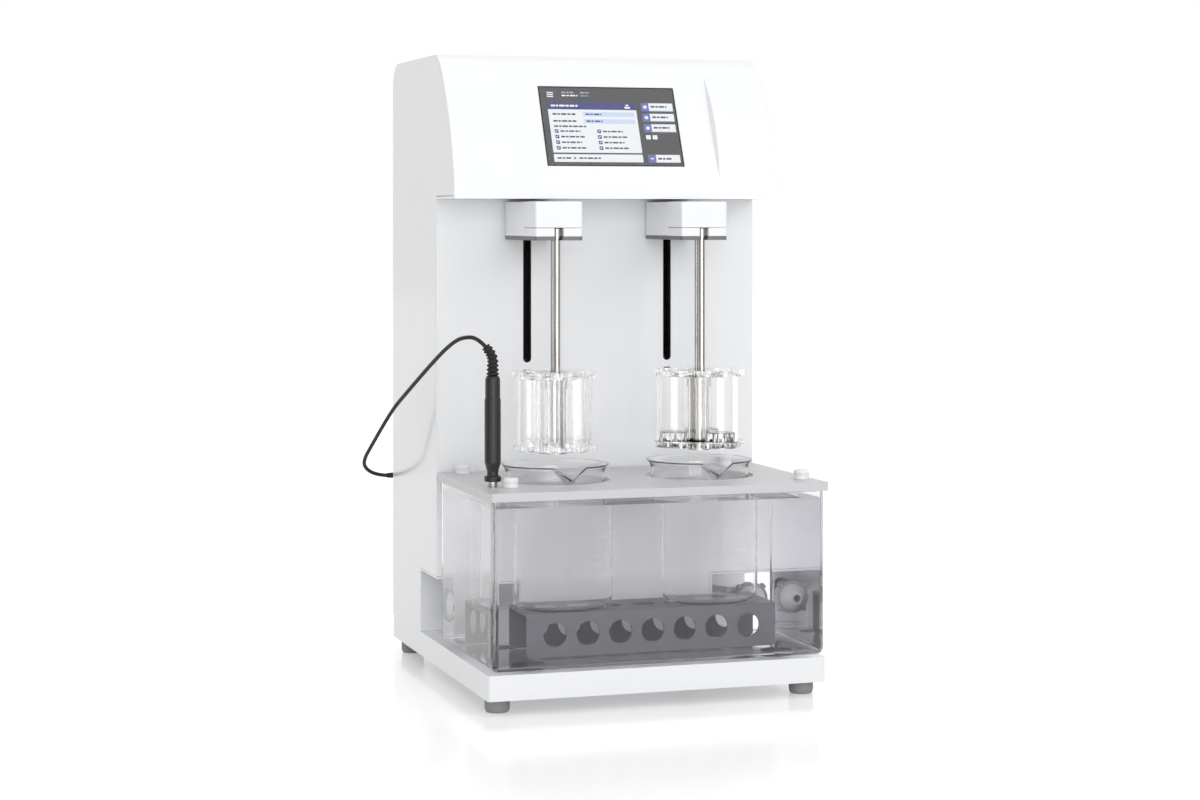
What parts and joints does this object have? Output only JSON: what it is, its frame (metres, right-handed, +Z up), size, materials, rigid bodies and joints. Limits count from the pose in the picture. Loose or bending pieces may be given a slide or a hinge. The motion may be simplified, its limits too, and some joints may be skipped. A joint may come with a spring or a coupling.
{
  "type": "tablet disintegration tester",
  "caption": "Bench tester: white column with a touch screen head, lifting baskets of glass tubes on rods, and a clear water bath with beakers, a grey cover and a temperature probe.",
  "frame": {"origin": "middle of the footprint, at the bottom of the feet", "axes": "X to the right, Y to the back, Z up; the screen faces -Y"},
  "size_m": [0.4031, 0.453, 0.677],
  "materials": {
    "white_paint": "gloss",
    "white_plastic": "gloss",
    "dark_plate": "satin",
    "grey_sheet": "satin",
    "grey_rubber": "matt",
    "black_rubber": "matt",
    "black_plastic": "satin",
    "screen_glass": "clear over a lit menu",
    "module_metal": "satin",
    "circuit_board": "satin",
    "steel": "polished",
    "alloy": "machined",
    "motor_metal": "satin",
    "grey_hose": "satin",
    "clear_acrylic": "clear",
    "clear_glass": "clear",
    "coupling_plastic": "satin",
    "rack_paint": "satin",
    "cover_acrylic": "gloss",
    "milky_plastic": "translucent"
  },
  "bodies": {
    "housing": {"base_shell": "white_plastic", "base_bottom_plate": "grey_sheet", "rubber_feet": "grey_rubber", "column_casing": "white_paint", "head_cover": "white_plastic", "column_front_panel": "white_paint", "rear_panel": "white_paint", "hose_recesses": "white_plastic", "screen_frame": "black_plastic", "touch_screen": "screen_glass", "display_module": "module_metal", "control_board": "circuit_board", "power_supply": "module_metal", "power_inlet": "black_plastic", "switch_frame": "black_plastic", "probe_socket": "steel", "drive_frame": "alloy", "guide_rods": "steel", "lift_motors": "motor_metal", "circulation_pump": "module_metal", "bath_hoses": "grey_hose", "bath_tank": "clear_acrylic", "bath_pads": "black_rubber", "bath_couplings": "coupling_plastic", "coupling_nuts": "coupling_plastic", "beaker_rack": "rack_paint", "casing_screws": "steel", "slot_liners": "black_plastic", "probe_cord": "black_rubber", "probe_plug": "black_rubber"},
    "cover": {"bath_cover": "cover_acrylic", "cover_knobs": "milky_plastic", "probe_handle": "black_plastic", "probe_needle": "steel", "probe_boot": "black_rubber"},
    "rocker": {"power_switch": "black_plastic"},
    "lift_left": {"drive_block_left": "white_plastic", "block_plate_left": "dark_plate", "hanger_clamp_left": "white_plastic", "lift_carriage_left": "alloy"},
    "screw_left": {"lead_screw_left": "steel"},
    "basket_left": {"basket_hanger_left": "steel", "upper_plate_left": "clear_acrylic", "lower_plate_left": "clear_acrylic", "basket_tubes_left": "clear_glass", "sieve_disc_left": "steel"},
    "disks_left": {"fluted_disks_left": "clear_acrylic"},
    "beaker_left": {"beaker_left": "clear_glass"},
    "lift_right": {"drive_block_right": "white_plastic", "block_plate_right": "dark_plate", "hanger_clamp_right": "white_plastic", "lift_carriage_right": "alloy"},
    "screw_right": {"lead_screw_right": "steel"},
    "basket_right": {"basket_hanger_right": "steel", "upper_plate_right": "clear_acrylic", "lower_plate_right": "clear_acrylic", "basket_tubes_right": "clear_glass", "sieve_disc_right": "steel"},
    "disks_right": {"fluted_disks_right": "clear_acrylic"},
    "beaker_right": {"beaker_right": "clear_glass"}
  },
  "joints": [
    {"name": "cover_lift", "type": "slide", "parent": "housing", "child": "cover", "axis": [0, 0, -1], "range_m": [-0.02, 0], "deforming": ["probe_cord"]},
    {"name": "power_switch_rock", "type": "hinge", "parent": "housing", "child": "rocker", "pos_m": [0.076, 0.2043, 0.09], "axis": [1, 0, 0], "range_deg": [0, 18]},
    {"name": "lift_left", "type": "slide", "parent": "housing", "child": "lift_left", "axis": [0, 0, 1], "range_m": [-0.125, 0]},
    {"name": "screw_turn_left", "type": "hinge", "parent": "housing", "child": "screw_left", "pos_m": [-0.081, 0.0505, 0.43], "axis": [0, 0, 1], "range_deg": [-1800, 0]},
    {"name": "basket_unhook_left", "type": "slide", "parent": "lift_left", "child": "basket_left", "axis": [0, 0, 1], "range_m": [0, 0.0035]},
    {"name": "disk_float_left", "type": "slide", "parent": "basket_left", "child": "disks_left", "axis": [0, 0, 1], "range_m": [0, 0.05]},
    {"name": "beaker_lift_left", "type": "slide", "parent": "cover", "child": "beaker_left", "axis": [0, 0, 1], "range_m": [0, 0.1]},
    {"name": "lift_right", "type": "slide", "parent": "housing", "child": "lift_right", "axis": [0, 0, 1], "range_m": [-0.125, 0]},
    {"name": "screw_turn_right", "type": "hinge", "parent": "housing", "child": "screw_right", "pos_m": [0.081, 0.0505, 0.43], "axis": [0, 0, 1], "range_deg": [-1800, 0]},
    {"name": "basket_unhook_right", "type": "slide", "parent": "lift_right", "child": "basket_right", "axis": [0, 0, 1], "range_m": [0, 0.0035]},
    {"name": "disk_float_right", "type": "slide", "parent": "basket_right", "child": "disks_right", "axis": [0, 0, 1], "range_m": [0, 0.05]},
    {"name": "beaker_lift_right", "type": "slide", "parent": "cover", "child": "beaker_right", "axis": [0, 0, 1], "range_m": [0, 0.1]}
  ],
  "couplings": [
    {"joint": "screw_turn_left", "follows": "lift_left", "rad_per_m": 251.3},
    {"joint": "screw_turn_right", "follows": "lift_right", "rad_per_m": 251.3}
  ]
}
